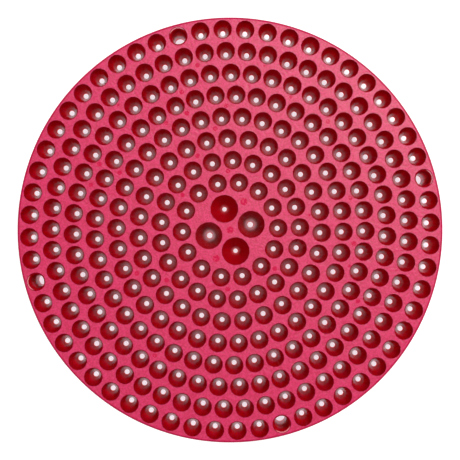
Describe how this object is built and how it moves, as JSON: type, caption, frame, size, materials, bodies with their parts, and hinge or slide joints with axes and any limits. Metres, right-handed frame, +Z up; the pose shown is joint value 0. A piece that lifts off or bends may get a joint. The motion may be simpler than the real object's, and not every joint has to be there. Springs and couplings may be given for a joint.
{
  "type": "bucket grit trap insert",
  "caption": "Round red plastic grit trap that stands on the floor of a wash bucket: a flat disc full of tapered funnels, with hollow legs under it and a downturned rim.",
  "frame": {"origin": "middle of the disc, on the surface that its legs stand on", "axes": "+Z up out of the top face; +X and +Y each run from the middle to one of the four outer legs"},
  "size_m": [0.264, 0.264, 0.04],
  "materials": {
    "crimson_plastic": "satin-gloss translucent crimson polypropylene, very finely grained top face"
  },
  "bodies": {
    "root": {"funnel_ring_1_back_left": "crimson_plastic", "funnel_ring_1_back_right": "crimson_plastic", "funnel_ring_1_front_left": "crimson_plastic", "funnel_ring_1_front_right": "crimson_plastic", "funnel_ring_2_back_left": "crimson_plastic", "funnel_ring_2_back_right": "crimson_plastic", "funnel_ring_2_front_left": "crimson_plastic", "funnel_ring_2_front_right": "crimson_plastic", "funnel_ring_3_back_left": "crimson_plastic", "funnel_ring_3_back_right": "crimson_plastic", "funnel_ring_3_front_left": "crimson_plastic", "funnel_ring_3_front_right": "crimson_plastic", "funnel_ring_4_back_left": "crimson_plastic", "funnel_ring_4_back_right": "crimson_plastic", "funnel_ring_4_front_left": "crimson_plastic", "funnel_ring_4_front_right": "crimson_plastic", "funnel_ring_5_back_left": "crimson_plastic", "funnel_ring_5_back_right": "crimson_plastic", "funnel_ring_5_front_left": "crimson_plastic", "funnel_ring_5_front_right": "crimson_plastic", "funnel_ring_6_back_left": "crimson_plastic", "funnel_ring_6_back_right": "crimson_plastic", "funnel_ring_6_front_left": "crimson_plastic", "funnel_ring_6_front_right": "crimson_plastic", "funnel_ring_7_back_left": "crimson_plastic", "funnel_ring_7_back_right": "crimson_plastic", "funnel_ring_7_front_left": "crimson_plastic", "funnel_ring_7_front_right": "crimson_plastic", "funnel_ring_8_back_left": "crimson_plastic", "funnel_ring_8_back_right": "crimson_plastic", "funnel_ring_8_front_left": "crimson_plastic", "funnel_ring_8_front_right": "crimson_plastic", "hub_funnel_back": "crimson_plastic", "hub_funnel_front": "crimson_plastic", "hub_leg_left": "crimson_plastic", "hub_leg_right": "crimson_plastic", "leg_back": "crimson_plastic", "leg_front": "crimson_plastic", "leg_left": "crimson_plastic", "leg_right": "crimson_plastic"}
  },
  "joints": []
}
